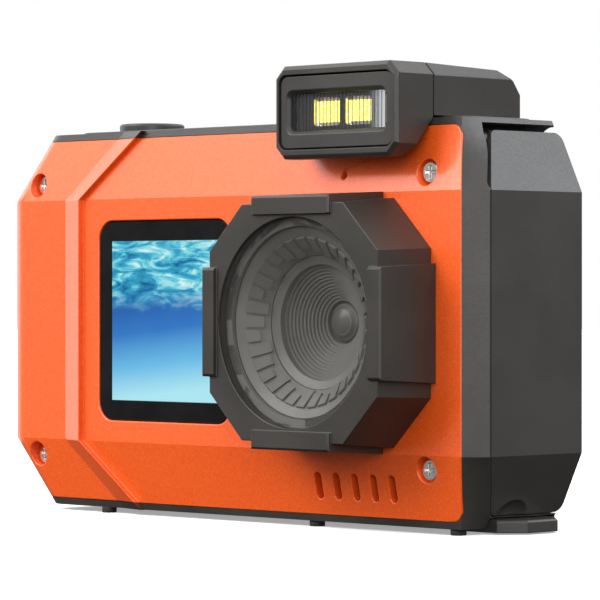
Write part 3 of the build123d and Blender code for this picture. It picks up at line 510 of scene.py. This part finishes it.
def soften(piece, width, segments=3):
    """Rounds the sharp edges of a piece by that many millimetres."""
    weld = piece.modifiers.new("weld", "WELD")
    weld.merge_threshold = WELD_GAP * MM
    if piece.name not in OPEN_FACED:
        flat = piece.modifiers.new("flat", "DECIMATE")
        flat.decimate_type = "DISSOLVE"
        flat.angle_limit = math.radians(FLAT_ANGLE)
    round_off = piece.modifiers.new("round_off", "BEVEL")
    round_off.width = width * MM
    round_off.segments = segments
    round_off.limit_method = "ANGLE"
    round_off.angle_limit = math.radians(SHARP_ANGLE)
    round_off.use_clamp_overlap = piece.name in TIGHT_CORNERED
    round_off.harden_normals = True
    even = piece.modifiers.new("even", "WEIGHTED_NORMAL")
    even.keep_sharp = True


for name, (axes, *marks) in MARKS.items():
    FINISH[name] = (marked_key(name, axes, *marks), 0)
for name, (material, width) in FINISH.items():
    piece = NODES[name]
    piece.data.materials.clear()
    piece.data.materials.append(material)
    if width:
        soften(piece, width)

# The shutter's spring shortens onto the frame as the button comes down on it; here it only gets its own copy
# of its mesh, and its box is read but not used.
spring_low, spring_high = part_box("shutter_spring")
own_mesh(NODES["shutter_spring"])

# ---- Floor and light ----
FLOOR_RADIUS, BACKDROP_RADIUS = 3.4, 3.0
STUDIO_STRENGTH = 2.0


def staging(name, mesh, material):
    """Piece for the camera only: it throws no light back on the object."""
    data = bpy.data.meshes.new(name)
    mesh.to_mesh(data)
    mesh.free()
    data.materials.append(material)
    made = bpy.data.objects.new(name, data)
    made.visible_diffuse = False
    made.visible_glossy = False
    made.visible_transmission = False
    bpy.context.scene.collection.objects.link(made)
    return made


pale, tree, bsdf = shader("floor_pale")
settle(bsdf, Roughness=0.9, Specular_IOR_Level=0.0, Emission_Strength=0.35)
settle(bsdf, Emission_Color=(1.0, 1.0, 1.0, 1.0))
tree.links.new(ramp(tree, noise(tree, 3, 2), (0.3, (0.86, 0.86, 0.86)), (0.7, (0.9, 0.9, 0.9))),
               bsdf.inputs["Base Color"])
mesh = bmesh.new()
bmesh.ops.create_circle(mesh, cap_ends=True, radius=FLOOR_RADIUS, segments=96)
floor = staging("floor", mesh, pale)

white, tree, bsdf = shader("backdrop_white")
settle(bsdf, Base_Color=(0.0, 0.0, 0.0, 1.0), Specular_IOR_Level=0.0)
settle(bsdf, Emission_Color=(1.0, 1.0, 1.0, 1.0), Emission_Strength=1.0)
mesh = bmesh.new()
bmesh.ops.create_uvsphere(mesh, u_segments=48, v_segments=24, radius=BACKDROP_RADIUS)
backdrop = staging("backdrop", mesh, white)
backdrop.visible_shadow = False

# Soft studio surroundings: dim below, brightest from 20 to 50 degrees up.
world = bpy.data.worlds.new("studio")
world.use_nodes = True
tree = world.node_tree
around, parts = node(tree, "TexCoord"), node(tree, "SeparateXYZ")
tree.links.new(around.outputs["Generated"], parts.inputs["Vector"])
level = spread(tree, parts.outputs["Z"], 0.0, 1.0, -1.0, 1.0)
sky = ramp(tree, level, (0.0, (0.03, 0.03, 0.03)), (0.42, (0.03, 0.03, 0.03)), (0.5, (0.2, 0.2, 0.2)),
           (0.585, (0.4, 0.4, 0.4)), (0.67, (0.82, 0.83, 0.85)), (0.88, (0.88, 0.9, 0.93)),
           (1.0, (0.6, 0.62, 0.65)))
tree.links.new(sky, tree.nodes["Background"].inputs["Color"])
tree.nodes["Background"].inputs["Strength"].default_value = STUDIO_STRENGTH
bpy.context.scene.world = world
bpy.context.scene.view_settings.view_transform = "Standard"

CENTRE = (CAD_LOW + CAD_HIGH) / 2


def area_light(name, place_at, size, power, colour=(1, 1, 1)):
    """Square soft light that points at the middle of the object."""
    data = bpy.data.lights.new(name, "AREA")
    data.size = size
    data.energy = power
    data.color = colour
    made = bpy.data.objects.new(name, data)
    made.location = Vector(place_at)
    made.rotation_euler = (CENTRE - made.location).to_track_quat("-Z", "Y").to_euler()
    made.visible_camera = False
    bpy.context.scene.collection.objects.link(made)


area_light("key_light", (-0.5, -0.9, 0.75), 0.7, 11.0)
area_light("left_light", (-1.3, -0.05, 0.08), 0.8, 2.6, (1.0, 0.98, 0.94))
area_light("back_light", (0.75, 0.95, 0.75), 0.6, 3.5, (0.9, 0.95, 1.0))
area_light("front_light", (1.0, -1.0, 0.3), 0.7, 5.0)

# ---- Camera ----
CAMERA_AT = (0.4422, -0.42655, 0.0393)
CAMERA_TURN = 45.3
FOCAL_LENGTH, SENSOR_WIDTH = 216.0, 36.0
PICTURE_DROP = 1 / 60
NEAR_LIMIT = 0.01
camera_data = bpy.data.cameras.new("camera")
camera_data.lens = FOCAL_LENGTH
camera_data.sensor_width = SENSOR_WIDTH
camera_data.shift_y = -PICTURE_DROP
camera_data.clip_start = NEAR_LIMIT
camera = bpy.data.objects.new("camera", camera_data)
camera.location = CAMERA_AT
camera.rotation_euler = (math.pi / 2, 0.0, math.radians(CAMERA_TURN))
bpy.context.scene.collection.objects.link(camera)
bpy.context.scene.camera = camera
